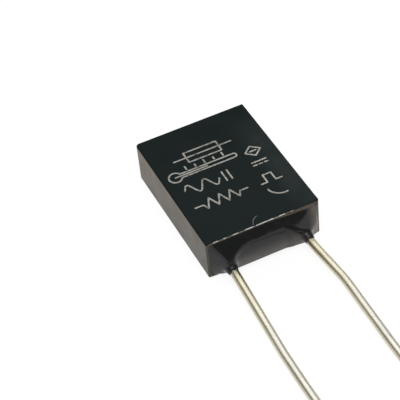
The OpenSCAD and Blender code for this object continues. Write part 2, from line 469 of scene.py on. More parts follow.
# Resin: places are from the middle of the mouth, x to the right and z up
FACE_CORNER = 0.35 * MM
SHELF_LENGTH = 1.6 * MM
SLEEVE_BEND = 0.035 * MM
SKIRT_REACH = 0.22 * MM
SLEEVE_SHARE, SKIRT_SHARE = 0.82, 0.18
PLUG_TUCK = 0.004 * MM
FILM_POINTS = 48
FILM_OVERLAP = 0.08 * MM
# Rings of the film: share of its reach, and millimetres that it stands off the wire
FILM_RINGS = ((-0.6, 0.03), (0.0, 0.028), (0.45, 0.02), (0.8, 0.012), (1.0, 0.004), (1.0, -0.03))


def lead_film(side, root, leads):
    """Points and faces of the ragged film of resin that crept on along a lead."""
    rings = []
    for share, lift in FILM_RINGS:
        radius = leads.diameter / 2 + lift * MM
        ring = []
        for i in range(FILM_POINTS):
            angle = 2 * math.pi * i / FILM_POINTS
            c, s = math.cos(angle), math.sin(angle)
            broad, fine = ripple(c, s, 0, 0.55, 2.0 + 4 * side), ripple(c, s, 0, 0.17, 9.0 + side)
            reach = max((0.16 + 0.16 * broad + 0.07 * fine) * MM, 0.03 * MM)
            ring.append((side * leads.pitch / 2 + radius * c,
                         MOUTH_Y - root + FILM_OVERLAP - reach * share,
                         leads.height + radius * s))
        rings.append(np.array(ring))
    return skin(rings)


def add_faces(verts, faces, more_verts, more_faces):
    """Adds points and faces to lists that may hold some already."""
    start = len(verts)
    verts += [tuple(v) for v in more_verts]
    faces += [tuple(start + k for k in face) for face in more_faces]


def resin_piece(resin, leads, case):
    """Points and faces of the resin: its formed face with the sleeves, the plug behind, and the films."""
    left_w, right_w = HALF_W - resin.bare_left, HALF_W - resin.bare_right
    half_t = HALF_T - resin.bare_rim
    wire_r = leads.diameter / 2
    lead_z = leads.height - HALF_T
    lead_x = leads.pitch / 2

    def upper(x):
        """Upper edge of the face, scalloped, and lower at the right where more of the rim is bare."""
        extra = (resin.bare_rim_right - resin.bare_rim) * float(smooth(0.3 * MM, 3.2 * MM, x))
        scallop = 0.015 * MM * ripple(x, 0, 0, 0.5 * MM, 3.1)
        return HALF_T - resin.bare_rim - extra + scallop

    def lower(x):
        """Distance of the lower edge below the middle."""
        return half_t + 0.012 * MM * ripple(x, 0, 0, 0.6 * MM, 8.3)

    def corner_drop(x):
        """How far the edges draw in at the rounded corners of the face."""
        past = max(x - right_w, -x - left_w) + FACE_CORNER
        return FACE_CORNER - math.sqrt(max(0.0, FACE_CORNER ** 2 - past ** 2)) if past > 0 else 0.0

    def levelled(depth, length):
        """Follows depth down to length and levels out there over a short bend."""
        bend = resin.ramp_bend
        return length - bend * math.log1p(math.exp(min(40.0, (length - depth) / bend)))

    def height(x, z, top):
        """How far the face stands out of the mouth, without what climbs the leads."""
        depth = max(0.0, top - z)
        left_end, right_end = float(smooth(3.9 * MM, 5.5 * MM, -x)), float(smooth(2.6 * MM, 5.0 * MM, x))
        length = resin.ramp_length * (1 - left_end) * (1 - right_end)
        # The rib runs down to the left lead, and is wider to its right and higher up
        beside = x + lead_x
        widening = float(smooth(0.0, 1.1 * MM, z))
        half_rib = (0.5 + (0.15 if beside < 0 else 0.75) * widening) * MM
        rib = resin.rib_length * math.exp(-abs(beside / half_rib) ** 2.2)
        plain, ribbed = levelled(depth, length), levelled(depth, length + rib)
        out = resin.ramp_slope * (plain + (ribbed - plain) * float(smooth(-1.6 * MM, -0.7 * MM, z)))
        # The shelf at the right end, and the slanting step below it
        shelf = resin.shelf_slope * float(smooth(2.6 * MM, 4.2 * MM, x))
        out += shelf * (levelled(depth, length + SHELF_LENGTH) - plain)
        step_z = 0.75 * MM - 0.68 * (x - 2.2 * MM)
        step_from, step_to = float(smooth(1.7 * MM, 2.5 * MM, x)), float(smooth(3.6 * MM, 4.3 * MM, x))
        step = resin.step_height * step_from * (1 - step_to)
        out += step * (1 - float(smooth(-0.15 * MM, 0.15 * MM, z - step_z)))
        out -= resin.foot_sag * (min(0.0, z) / half_t) ** 2
        past = 1 + ((x - right_w) / resin.right_roll if x > 0 else (-x - left_w) / resin.left_roll)
        past = min(1.0, max(0.0, past))
        foot = min(1.0, max(0.0, (-z - half_t + resin.foot_radius) / resin.foot_radius))
        return max(0.0, out) * math.sqrt(1 - past ** 2) * math.sqrt(1 - foot ** 2)

    def sleeved(face, x, z, share):
        """Height of the face with the resin that climbs each lead."""
        for side, end in ((-1, resin.left_climb), (1, resin.right_climb)):
            dx, dz = x - side * lead_x, z - lead_z
            angle = math.atan2(dz, dx)
            away = max(math.hypot(dx, dz) - wire_r, 0.0)
            uneven = 1 + 0.2 * math.sin(angle + 0.9 * side) + 0.12 * math.sin(2 * angle - 1.3 * side)
            wall = 1 / (1 + math.exp((away - resin.climb_width * uneven) / SLEEVE_BEND))
            skirt = math.exp(-away / (SKIRT_REACH * (1 + max(0.0, math.sin(angle)))))
            climb = SLEEVE_SHARE * wall + SKIRT_SHARE * skirt
            face += max(0.0, end - face) * climb * (1 - abs(share) ** 8)
        return face

    columns = graded(-left_w, right_w, 0.1 * MM, 0.03 * MM, [-left_w, -lead_x, lead_x, right_w], 0.7 * MM)
    rows = graded(-1.0, 1.0, 0.035, 0.015, [-1.0, lead_z / half_t, 1.0], 0.3)
    nx, nz = len(columns), len(rows)
    verts = []
    for i, x in enumerate(columns):
        drop = corner_drop(x)
        top, bottom = upper(x) - drop, lower(x) - drop
        for j, share in enumerate(rows):
            z = share * (top if share > 0 else bottom)
            edge = i in (0, nx - 1) or j in (0, nz - 1)
            out = 0.0 if edge else sleeved(height(x, z, top), x, z, share)
            inner = (1 - share ** 4) * math.sqrt(max(0.0, 1 - (x / (right_w if x > 0 else left_w)) ** 8))
            swell, grain = ripple(x, 0, z, 1.3 * MM, 1.0), ripple(x, 0, z, 0.4 * MM, 5.0)
            out += inner * MM * (0.012 * swell + 0.002 * grain)
            verts.append((x, MOUTH_Y - max(out, 0.0), z + HALF_T))

    def at(i, j):
        return i * nz + j

    faces = [(at(i, j), at(i, j + 1), at(i + 1, j + 1), at(i + 1, j))
             for i in range(nx - 1) for j in range(nz - 1)]
    rim = ([at(i, 0) for i in range(nx - 1)] + [at(nx - 1, j) for j in range(nz - 1)]
           + [at(i, nz - 1) for i in range(nx - 1, 0, -1)] + [at(0, j) for j in range(nz - 1, 0, -1)])
    plug_w = (HALF_W - case.side_wall) / left_w
    plug_t = (HALF_T - case.side_wall) / half_t
    loops = [rim]
    tucked = MOUTH_Y + PLUG_TUCK
    for y, w, t in ((tucked, 1.0, 1.0), (tucked, plug_w, plug_t), (SEAL_BACK_Y, plug_w, plug_t)):
        start = len(verts)
        for k in rim:
            x, _, z = verts[k]
            verts.append((x * w, y, (z - HALF_T) * t + HALF_T))
        loops.append(list(range(start, len(verts))))
    for a, b in zip(loops[:-1], loops[1:]):
        faces += [(a[i], a[(i + 1) % len(a)], b[(i + 1) % len(a)], b[i]) for i in range(len(a))]
    faces.append(tuple(loops[-1]))
    for side, root in ((-1, resin.left_climb), (1, resin.right_climb)):
        add_faces(verts, faces, *lead_film(side, root, leads))
    return verts, faces


def lead_route(side, leads):
    """Corners of a lead's centre line, as in the solids."""
    climb_out = MOUTH_Y - RESIN_LOW.y
    spread = leads.left_spread if side < 0 else leads.right_spread
    free = leads.left_free if side < 0 else leads.right_free
    rest_z = leads.diameter / 2
    run = spread - climb_out
    down = (leads.height - rest_z) * run / (leads.touch_down - climb_out)
    out = abs(free - leads.pitch / 2)
    first = climb_out + 0.1 * MM + leads.bend_radius * math.tan(math.atan(math.hypot(out, down) / run) / 2)
    sunk = (spread - first) / (leads.touch_down - first)
    spread_z = leads.height + (rest_z - leads.height) * sunk
    root_x, free_x = side * leads.pitch / 2, side * free
    return [Vector(p) for p in (
        (root_x, LEAD_HIGH.y, leads.height),
        (root_x, MOUTH_Y - first, leads.height),
        (free_x, MOUTH_Y - spread, spread_z),
        (free_x, MOUTH_Y - leads.touch_down, rest_z),
        (free_x, LEAD_LOW.y, rest_z))]


def rounded_route(corners, radius, step):
    """Points and directions along straight runs that are joined by bends of one radius."""
    along = [(b - a).normalized() for a, b in zip(corners[:-1], corners[1:])]
    points, ways = [], []

    def straight(a, b, way):
        count = max(2, int((b - a).length / step))
        for i in range(count):
            points.append(a.lerp(b, i / count))
            ways.append(way)

    start = corners[0]
    for i in range(1, len(corners) - 1):
        turn = along[i - 1].angle(along[i])
        trim = radius * math.tan(turn / 2)
        entry = corners[i] - along[i - 1] * trim
        straight(start, entry, along[i - 1])
        inward = (along[i] - along[i - 1] * along[i - 1].dot(along[i])).normalized()
        centre = entry + inward * radius
        count = max(3, int(radius * turn / step))
        for k in range(count):
            a = turn * k / count
            points.append(centre - inward * radius * math.cos(a) + along[i - 1] * radius * math.sin(a))
            ways.append((along[i - 1] * math.cos(a) + inward * math.sin(a)).normalized())
        start = centre - inward * radius * math.cos(turn) + along[i - 1] * radius * math.sin(turn)
    straight(start, corners[-1], along[-1])
    points.append(corners[-1])
    ways.append(along[-1])
    return points, ways


WIRE_SIDES = 40
WIRE_STEP = 0.22 * MM
WIRE_NIP = 0.05 * MM
WIRE_END_DOME = 0.01 * MM
COAT_UNEVEN, COAT_LIMIT = 0.006, 1.004


def wire_piece(side, leads):
    """Points, faces and wire places of a tinned wire with an uneven coat and nipped-off ends."""
    radius = leads.diameter / 2
    points, ways = rounded_route(lead_route(side, leads), leads.bend_radius, WIRE_STEP)
    turn = 2 * math.pi / WIRE_SIDES

    def ring(point, way, r, shift=0.0):
        flat = way.cross(Vector((0, 0, 1))).normalized()
        up = flat.cross(way).normalized()
        spot = point + way * shift
        out = []
        for i in range(WIRE_SIDES):
            a = turn * i
            swell = ripple(math.cos(a), 0.7 * spot.y / MM, math.sin(a), 1.1, 6.0 + side)
            reach = min(r * (1 + COAT_UNEVEN * swell), radius * COAT_LIMIT)
            out.append(spot + (flat * math.cos(a) + up * math.sin(a)) * reach)
        return np.array(out)

    root, end = (points[0], ways[0]), (points[-1], ways[-1])
    loops = [ring(*root, radius - WIRE_NIP), ring(*root, radius, WIRE_NIP)]
    loops += [ring(p, w, radius) for p, w in zip(points[1:-1], ways[1:-1])]
    loops += [ring(*end, radius, -WIRE_NIP), ring(*end, radius - WIRE_NIP, -WIRE_END_DOME),
              ring(*end, radius - 2.5 * WIRE_NIP)]
    lengths = [0.0]
    for a, b in zip(loops[:-1], loops[1:]):
        lengths.append(lengths[-1] + float(np.linalg.norm(b.mean(0) - a.mean(0))))
    place = [(math.cos(turn * i), length / MM, math.sin(turn * i))
             for length in lengths for i in range(WIRE_SIDES)]
    verts, faces = skin(loops)
    return verts, faces, place


# Printed marks


INK_STEP = 0.07 * MM
INK_RAGGED = 0.22
INK_SUNK = 0.01 * MM
CAP_STEPS = 5
# A scrape that runs back from the rim, in millimetres, with its width and thickness
SCRATCH = ((-0.11, -6.25), (-0.36, -6.36), (-0.58, -6.54), (-0.73, -6.78), (-0.82, -7.02))
SCRATCH_WIDTH, SCRATCH_THICKNESS = 0.07 * MM, 0.004 * MM


def arc_points(cx, cy, radius, start, end, steps):
    """Points along an arc between two angles in degrees."""
    angles = np.linspace(math.radians(start), math.radians(end), steps)
    return [(cx + radius * math.cos(a), cy + radius * math.sin(a)) for a in angles]


def dense(points, step):
    """The same line with points no further apart than step."""
    out = [points[0]]
    for (ax, ay), (bx, by) in zip(points[:-1], points[1:]):
        count = max(1, math.ceil(math.dist((ax, ay), (bx, by)) / step))
        out += [(ax + (bx - ax) * i / count, ay + (by - ay) * i / count) for i in range(1, count + 1)]
    return out


def ink_stroke(points_mm, width, thickness, case, seed):
    """Points and faces of one line on the broad face, with round ends and a slightly ragged edge."""
    line = dense([(x * MM, y * MM) for x, y in points_mm], INK_STEP)
    closed = math.dist(line[0], line[-1]) < 0.01 * MM
    if closed:
        line = line[:-1]
    count = len(line)
    left, right = [], []
    for i, (x, y) in enumerate(line):
        before = line[i - 1] if closed or i > 0 else line[i]
        after = line[(i + 1) % count] if closed or i < count - 1 else line[i]
        dx, dy = after[0] - before[0], after[1] - before[1]
        size = math.hypot(dx, dy) or 1.0
        nx, ny = -dy / size, dx / size
        for edge, sign in ((left, 1), (right, -1)):
            half = width / 2 * (1 + INK_RAGGED * ripple(x, y, sign * MM, 0.16 * MM, seed))
            edge.append((x + sign * nx * half, y + sign * ny * half))

    def on_face(spots, lift):
        return [(x, y, broad_face_z(x, y, case) + lift) for x, y in spots]

    def cap(centre, start):
        base = math.atan2(start[1] - centre[1], start[0] - centre[0])
        reach = math.dist(start, centre)
        angles = [base - math.pi * k / CAP_STEPS for k in range(1, CAP_STEPS)]
        return [(centre[0] + reach * math.cos(a), centre[1] + reach * math.sin(a)) for a in angles]

    verts, faces = on_face(left + right, thickness) + on_face(left + right, -INK_SUNK), []
    level = 2 * count
    for i in range(count if closed else count - 1):
        k = (i + 1) % count
        faces.append((i, k, count + k, count + i))
        faces.append((level + i, level + count + i, level + count + k, level + k))
        faces.append((i, level + i, level + k, k))
        faces.append((count + i, count + k, level + count + k, level + count + i))
    if not closed:
        ends = ((cap(line[-1], left[-1]), count - 1, 2 * count - 1), (cap(line[0], right[0]), count, 0))
        for spots, first, last in ends:
            start, middle = len(verts), len(verts) + len(spots)
            verts += on_face(spots, thickness) + on_face(spots, -INK_SUNK)
            upper = [first, *range(start, middle), last]
            under = [level + first, *range(middle, len(verts)), level + last]
            faces.append(tuple(upper))
            faces.append(tuple(reversed(under)))
            faces += [(upper[i], under[i], under[i + 1], upper[i + 1]) for i in range(len(upper) - 1)]
    return verts, faces


def printed_marks():
    """Lines of the plain marks on the broad face, in millimetres: piece name to list of lines."""
    fuse_box = [(-2.2, 2.65), (1.0, 2.65), (1.0, 3.95), (-2.2, 3.95), (-2.2, 2.65)]
    bulb = arc_points(-4.1, 1.45, 0.6, 25, 335, 30)
    stem = [(-3.56, 1.7), (1.6, 1.7)] + arc_points(1.6, 1.45, 0.25, 90, -90, 10)[1:] + [(-3.56, 1.2)]
    column = [(-4.1, 1.45), (-1.0, 1.45)]
    ticks = [[(x, 1.95), (x, 2.35 if k % 2 == 0 else 2.2)]
             for k, x in enumerate((-2.8, -1.9, -1.0, -0.1, 0.8))]
    wave = [(-4.1 + 3.3 * t, -0.5 + 0.6 * math.sin(4 * math.pi * t)) for t in np.linspace(0, 1, 60)]
    bars = [[(x, -1.1), (x, 0.1)] for x in (-0.3, 0.2)]
    peaks = [(-3.2 + 0.5 * k, -2.8 + (0.6 if k % 2 else -0.6)) for k in range(7)]
    diamond = [(2.55, 1.1), (3.3, 1.75), (4.05, 1.1), (3.3, 0.45), (2.55, 1.1)]
    dashes = [[(x, -0.7), (x + 0.3, -0.7)] for x in (2.5, 3.05, 3.6)]
    return {
        "print_fuse": [fuse_box, [(-3.4, 3.3), (2.2, 3.3)]],
        "print_thermometer": [bulb, stem, column] + ticks,
        "print_wave": [wave] + bars,
        "print_zigzag": [[(-4.2, -2.8), (-3.45, -2.8)] + peaks + [(0.05, -2.8), (0.8, -2.8)]],
        "print_diamond": [diamond, [(3.0, 1.1), (3.6, 1.1)]],
        "print_steady": [[(2.5, -0.3), (3.9, -0.3)]] + dashes,
        "print_pulse": [[(2.0, -3.1), (2.6, -3.1), (2.6, -2.1), (3.4, -2.1), (3.4, -3.1), (4.0, -3.1)]],
        "print_bow": [arc_points(3.4, -3.7, 1.22, 190, 280, 20)],
    }


# Materials


# Colours of finishes that are mixed into a piece's own colour
# Handling haze, and also a painted sheen that lightens the broad face towards its right side and its mouth
HAZE_AND_SHEEN_COLOUR = (0.024, 0.033, 0.031)
SCRAPE_COLOURS = (0.012, 0.015, 0.015), (0.15, 0.155, 0.145)
RESIN_SPECK_COLOUR = (0.02, 0.018, 0.015)
# Painted warm bounce light from the floor, for the resin's right end and foot
RESIN_BOUNCE_COLOUR = (0.21, 0.165, 0.12)
DULL_TIN_COLOUR = (0.70, 0.65, 0.52)
POOLED_TIN_COLOUR = (0.80, 0.78, 0.70)
BARE_PLASTIC_COLOUR = (0.02, 0.022, 0.022)
ALLOY_COLOURS = (0.55, 0.56, 0.58), (0.40, 0.41, 0.43)
ROSIN_COLOURS = (0.55, 0.26, 0.05), (0.62, 0.40, 0.14)
FLOOR_COLOURS = (0.86, 0.86, 0.86), (0.9, 0.9, 0.9)


def add_node(tree, kind, inputs=None, **settings):
    """Adds a node with the given settings and plain input values."""
    node = tree.nodes.new(kind)
    for key, value in settings.items():
        setattr(node, key, value)
    for key, value in (inputs or {}).items():
        node.inputs[key].default_value = value
    return node


def connect(tree, value, socket):
    """Links a socket to an input, or sets the input to a plain number."""
    if isinstance(value, (int, float)):
        socket.default_value = value
    else:
        tree.links.new(value, socket)


def feed(tree, shader, **sockets):
    """Links sockets to the shader's inputs; an underscore in a key stands for a space."""
    for key, socket in sockets.items():
        tree.links.new(socket, shader.inputs[key.replace("_", " ")])


def math_node(tree, operation, *values, clamp=False):
    """A Math node whose inputs are sockets or plain numbers; gives its output socket."""
    node = add_node(tree, "ShaderNodeMath", operation=operation, use_clamp=clamp)
    for value, socket in zip(values, node.inputs):
        connect(tree, value, socket)
    return node.outputs[0]


def times(tree, first, *others, clamp=False):
    """The product of two or more sockets or numbers."""
    for other in others:
        first = math_node(tree, "MULTIPLY", first, other, clamp=clamp)
    return first


def times_plus(tree, value, factor, offset, clamp=False):
    """value x factor + offset."""
    return math_node(tree, "MULTIPLY_ADD", value, factor, offset, clamp=clamp)


def remap(tree, value, low, high, to_low=0.0, to_high=1.0):
    """A smooth Map Range node; its ends are sockets or plain numbers."""
    node = add_node(tree, "ShaderNodeMapRange", interpolation_type="SMOOTHSTEP", clamp=True)
    tree.links.new(value, node.inputs["Value"])
    for key, end in (("From Min", low), ("From Max", high), ("To Min", to_low), ("To Max", to_high)):
        connect(tree, end, node.inputs[key])
    return node.outputs["Result"]


def mix_colour(tree, share, first, second):
    """A Mix node for colours, which are sockets or plain values; gives its output socket."""
    node = add_node(tree, "ShaderNodeMix", data_type="RGBA")
    sockets = [s for s in node.inputs if s.type == "RGBA"]
    for value, socket in ((first, sockets[0]), (second, sockets[1])):
        if hasattr(value, "is_output"):
            tree.links.new(value, socket)
        else:
            socket.default_value = (*value[:3], 1.0)
    tree.links.new(share, node.inputs[0])
    return next(s for s in node.outputs if s.type == "RGBA")


def axes(tree, kind="Object"):
    """X, Y and Z sockets of the place on the part, or with Normal of the way that its surface faces."""
    parts = add_node(tree, "ShaderNodeSeparateXYZ")
    tree.links.new(add_node(tree, "ShaderNodeTexCoord").outputs[kind], parts.inputs[0])
    return [parts.outputs[key] for key in "XYZ"]


def new_group(name, inputs, outputs):
    """A shader node group with named float sockets; gives the tree and its two end nodes."""
    tree = bpy.data.node_groups.new(name, "ShaderNodeTree")
    for key, default in inputs.items():
        socket = tree.interface.new_socket(name=key, in_out="INPUT", socket_type="NodeSocketFloat")
        socket.default_value = default
    for key in outputs:
        tree.interface.new_socket(name=key, in_out="OUTPUT", socket_type="NodeSocketFloat")
    return tree, tree.nodes.new("NodeGroupInput"), tree.nodes.new("NodeGroupOutput")


def noise_value(tree, vector, scale, detail, roughness=0.5):
    """A Noise node's value at vector; scale is a socket or a plain number."""
    node = add_node(tree, "ShaderNodeTexNoise", {"Detail": detail, "Roughness": roughness})
    tree.links.new(vector, node.inputs["Vector"])
    connect(tree, scale, node.inputs["Scale"])
    return node.outputs["Fac"]


def moulded_grain_group():
    """Fine relief of a moulded or cast surface, and broad smudges on it."""
    tree, given, result = new_group(
        "moulded_grain", {"Grain per metre": 7000.0, "Smudge per metre": 500.0}, ["Height", "Smudge"])
    place = add_node(tree, "ShaderNodeTexCoord").outputs["Object"]
    fine = noise_value(tree, place, given.outputs["Grain per metre"], 3.0, 0.6)
    broad = noise_value(tree, place, given.outputs["Smudge per metre"], 4.0, 0.55)
    feed(tree, result, Height=fine, Smudge=remap(tree, broad, 0.35, 0.68))
    return tree


def settled_dust_group():
    """Patchy dust that fills a share of the surface, with fine specks in it."""
    tree, given, result = new_group(
        "settled_dust", {"Patch per metre": 800.0, "Speck per metre": 9000.0, "Cover": 0.5}, ["Mask"])
    place = add_node(tree, "ShaderNodeTexCoord").outputs["Object"]
    patch = noise_value(tree, place, given.outputs["Patch per metre"], 5.0, 0.6)
    speck = noise_value(tree, place, given.outputs["Speck per metre"], 2.0)
    level = math_node(tree, "SUBTRACT", 1.0, given.outputs["Cover"])
    low = times_plus(tree, level, 0.6, 0.05)
    high = math_node(tree, "ADD", low, 0.3)
    cover = remap(tree, patch, low, high)
    grit = remap(tree, speck, 0.3, 0.7, 0.55, 1.0)
    feed(tree, result, Mask=times(tree, cover, grit, clamp=True))
    return tree


def broken_wear_group():
    """A mask of wear that breaks up into dashes and dots."""
    tree, given, result = new_group(
        "broken_wear", {"Dash per metre": 2500.0, "Kept": 0.5, "Softness": 0.12}, ["Mask"])
    place = add_node(tree, "ShaderNodeTexCoord").outputs["Object"]
    dash = noise_value(tree, place, given.outputs["Dash per metre"], 3.0, 0.65)
    level = math_node(tree, "SUBTRACT", 1.0, given.outputs["Kept"])
    level = times_plus(tree, level, 0.5, 0.25)
    low = math_node(tree, "SUBTRACT", level, given.outputs["Softness"])
    high = math_node(tree, "ADD", level, given.outputs["Softness"])
    feed(tree, result, Mask=remap(tree, dash, low, high))
    return tree


def drawn_streaks_group():
    """Fine lines along the leads, slow pools in their coat, and a mask of their flanks for painted shade.
    """
    tree, given, result = new_group(
        "drawn_streaks", {"Lines round": 3.0, "Lines per mm": 0.12}, ["Streak", "Pool", "Flank"])
    pools_per_mm = 0.45
    parts = add_node(tree, "ShaderNodeSeparateXYZ")
    place = add_node(tree, "ShaderNodeAttribute", attribute_name="wire_place").outputs["Vector"]
    tree.links.new(place, parts.inputs[0])
    fine, slow = add_node(tree, "ShaderNodeCombineXYZ"), add_node(tree, "ShaderNodeCombineXYZ")
    for key in "XZ":
        around = parts.outputs[key]
        tree.links.new(times(tree, around, given.outputs["Lines round"]), fine.inputs[key])
        tree.links.new(around, slow.inputs[key])
    along = parts.outputs["Y"]
    tree.links.new(times(tree, along, given.outputs["Lines per mm"]), fine.inputs["Y"])
    tree.links.new(times(tree, along, pools_per_mm), slow.inputs["Y"])
    streak = noise_value(tree, fine.outputs[0], 1.0, 3.0)
    pool = noise_value(tree, slow.outputs[0], 1.0, 2.0)
    sideways = math_node(tree, "ABSOLUTE", parts.outputs["X"])
    feed(tree, result, Streak=remap(tree, streak, 0.3, 0.7), Pool=remap(tree, pool, 0.35, 0.65),
         Flank=remap(tree, sideways, 0.35, 0.8, 0.0, 0.8))
    return tree


GROUP_MAKERS = {
    "moulded_grain": moulded_grain_group,
    "settled_dust": settled_dust_group,
    "broken_wear": broken_wear_group,
    "drawn_streaks": drawn_streaks_group,
}


def use_group(tree, name, **inputs):
    """Places a shared group in a material, made when it is first needed."""
    group = bpy.data.node_groups.get(name) or GROUP_MAKERS[name]()
    node = add_node(tree, "ShaderNodeGroup", node_tree=group)
    for key, value in inputs.items():
        node.inputs[key.replace("_", " ")].default_value = value
    return node


def new_material(name):
    """A material with one Principled shader; gives it, its tree and the shader."""
    material = bpy.data.materials.new(name)
    material.use_nodes = True
    return material, material.node_tree, material.node_tree.nodes["Principled BSDF"]


def bump(tree, shader, height, strength, distance):
    """Relief on the shader's normal."""
    node = add_node(tree, "ShaderNodeBump", {"Strength": strength, "Distance": distance})
    tree.links.new(height, node.inputs["Height"])
    feed(tree, shader, Normal=node.outputs["Normal"])


def window(tree, value, low, high, soft):
    """1 between low and high, falling to 0 over soft outside them."""
    return times(tree, remap(tree, value, low - soft, low), remap(tree, value, high, high + soft, 1.0, 0.0))


def case_material(case):
    """Black moulded plastic: satin broad faces with haze and a painted sheen, dusty sides with a painted
    reflection on the left, a painted reflection on the front rim, and a scuffed rim with a painted
    highlight.
    """
    material, tree, shader = new_material("case_moulding")
    x, y, z = axes(tree)
    facing_x, facing_y, facing_z = axes(tree, "Normal")
    grain = use_group(tree, "moulded_grain", Grain_per_metre=6500.0, Smudge_per_metre=420.0)
    smudge = grain.outputs["Smudge"]
    dust = use_group(
        tree, "settled_dust", Patch_per_metre=900.0, Speck_per_metre=8000.0, Cover=0.72).outputs["Mask"]
    wear = use_group(
        tree, "broken_wear", Dash_per_metre=2600.0, Kept=0.52, Softness=0.08).outputs["Mask"]

    # Dust lies thick on the left side and thin on the others, more of it high up and at the back; the brown
    # on the left side is also a painted reflection of the warm floor
    upright = math_node(tree, "SUBTRACT", 1.0, math_node(tree, "ABSOLUTE", facing_z))
    side = remap(tree, upright, 0.55, 0.95)
    thick = remap(tree, facing_x, -0.8, -0.3, 0.72, 0.22)
    lift = times_plus(tree, y, 25.0, times(tree, z, 90.0))
    lift = remap(tree, lift, -0.1, 0.5, 0.68, 1.3)
    side_dust_and_reflection = times(tree, times(tree, side, dust, thick), lift, clamp=True)

    # Handling haze and a painted sheen on the broad face: lighter along its right side and towards the
    # mouth, fading towards the closed end
    haze_and_sheen = times(tree, remap(tree, x, 1.8 * MM, 4.8 * MM), remap(tree, y, 2.0 * MM, 6.5 * MM, 1.0, 0.0))
    haze_and_sheen = math_node(tree, "MAXIMUM", haze_and_sheen, remap(tree, y, -5.0 * MM, 6.0 * MM, 0.28, 0.0))
    haze_and_sheen = times(tree, haze_and_sheen, times_plus(tree, smudge, 0.5, 0.5))

    # A broken pale line along the upper rim of the mouth, partly scuffed plastic and partly a painted
    # highlight on the rim's edge
    at_rim = remap(tree, y, MOUTH_Y + 0.02 * MM, MOUTH_Y + 0.075 * MM, 1.0, 0.0)
    at_top = remap(tree, z, 2 * HALF_T - 0.06 * MM, 2 * HALF_T - 0.02 * MM)
    rim = times(tree, at_rim, at_top, window(tree, x, -4.9 * MM, 2.7 * MM, 0.3 * MM))
    rim = times(tree, rim, times_plus(tree, wear, 0.95, 0.12, clamp=True))

    # Painted reflection of the warm floor on the rim surfaces that face out of the mouth, broken up by dust
    front_rim_reflection = remap(tree, facing_y, -0.9, -0.6, 1.0, 0.0)
    front_rim_reflection = times(tree, front_rim_reflection, times_plus(tree, dust, 0.6, 0.4))
    base = mix_colour(tree, times(tree, haze_and_sheen, 0.75), case.colour, HAZE_AND_SHEEN_COLOUR)
    # Dust on the sides, and on the left side a painted reflection of the warm floor
    base = mix_colour(tree, side_dust_and_reflection, base, case.dust_and_reflection_colour)
    base = mix_colour(tree, front_rim_reflection, base, case.rim_reflection_colour)
    base = mix_colour(tree, rim, base, case.scuff_and_highlight_colour)

    coat = times_plus(tree, dust, -0.2, remap(tree, facing_x, -0.8, -0.3, 0.5, 0.46))
    rough = times_plus(tree, smudge, 0.10, 0.36)
    rough = times_plus(tree, side, -0.06, rough)
    rough = times_plus(tree, side_dust_and_reflection, 0.14, rough)
    rough = times_plus(tree, rim, 0.3, rough, clamp=True)
    feed(tree, shader, Base_Color=base, Coat_Weight=times(tree, side, coat, clamp=True), Roughness=rough)
    shader.inputs["Specular IOR Level"].default_value = 0.068
    shader.inputs["Coat Roughness"].default_value = 0.32
    bump(tree, shader, times_plus(tree, side_dust_and_reflection, 0.6, grain.outputs["Height"]), 0.25, 0.012 * MM)
    return material


def scuff_material():
    """Plastic scraped pale, broken up along the scratch."""
    material, tree, shader = new_material("scraped_plastic")
    wear = use_group(
        tree, "broken_wear", Dash_per_metre=3500.0, Kept=0.6, Softness=0.15).outputs["Mask"]
    feed(tree, shader, Base_Color=mix_colour(tree, wear, *SCRAPE_COLOURS),
         Roughness=times_plus(tree, wear, 0.25, 0.4))
    return material


def resin_material(resin):
    """Glossy black potting resin with settled specks, and painted warm bounce light from the floor at its
    right end and along its foot.
    """
    material, tree, shader = new_material("potting_resin_skin")
    grain = use_group(tree, "moulded_grain", Grain_per_metre=3200.0, Smudge_per_metre=700.0)
    dust = use_group(
        tree, "settled_dust", Patch_per_metre=1600.0, Speck_per_metre=12000.0, Cover=0.3).outputs["Mask"]
    x, y, z = axes(tree)
    # Painted warm bounce light from the floor: at the right end and along the foot, broken up by the dust
    end = remap(tree, x, 3.9 * MM, 5.1 * MM)
    foot = remap(tree, z, 0.5 * MM, 2.4 * MM, 0.42, 0.0)
    foot = times(tree, foot, window(tree, x, -2.4 * MM, 3.0 * MM, 0.9 * MM))
    painted_bounce = math_node(tree, "MAXIMUM", times(tree, end, 0.75), foot)
    painted_bounce = times(tree, painted_bounce, times_plus(tree, dust, 0.5, 0.6), clamp=True)
    base = mix_colour(tree, times(tree, dust, 0.5), resin.colour, RESIN_SPECK_COLOUR)
    base = mix_colour(tree, painted_bounce, base, RESIN_BOUNCE_COLOUR)
    rough = times_plus(tree, grain.outputs["Smudge"], 0.06, 0.10)
    rough = times_plus(tree, dust, 0.08, rough)
    sleeve = remap(tree, y, MOUTH_Y - 1.05 * MM, MOUTH_Y - 0.8 * MM, 0.3, 0.0)
    feed(tree, shader, Base_Color=base, Roughness=math_node(tree, "ADD", rough, sleeve))
    shader.inputs["Specular IOR Level"].default_value = 0.42
    bump(tree, shader, grain.outputs["Height"], 0.12, 0.01 * MM)
    return material


